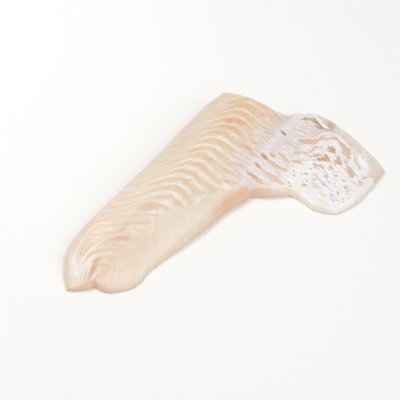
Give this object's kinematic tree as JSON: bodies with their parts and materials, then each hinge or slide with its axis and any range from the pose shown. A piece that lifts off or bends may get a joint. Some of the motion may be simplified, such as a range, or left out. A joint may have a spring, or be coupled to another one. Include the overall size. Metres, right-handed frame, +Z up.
{
  "type": "haddock fillet",
  "caption": "Skinned raw haddock fillet lying flat with its outer side up: swept muscle bands, a thick loin, a notched tail and a thin belly flap under silvery membrane.",
  "frame": {"origin": "under the middle of the fillet's box, on the flat face it lies on", "axes": "+X from the tail to the head cut, +Y towards the back edge (the belly flap reaches to -Y), +Z up out of the table"},
  "size_m": [0.2942, 0.1792, 0.0278],
  "materials": {
    "flesh": "wet raw white fish flesh, cream with tan muscle bands and whitish sheets between them, slightly translucent",
    "membrane": "thin wet silver-white membrane, torn in slots over the belly flap"
  },
  "bodies": {
    "root": {"fillet": "flesh"}
  },
  "joints": []
}
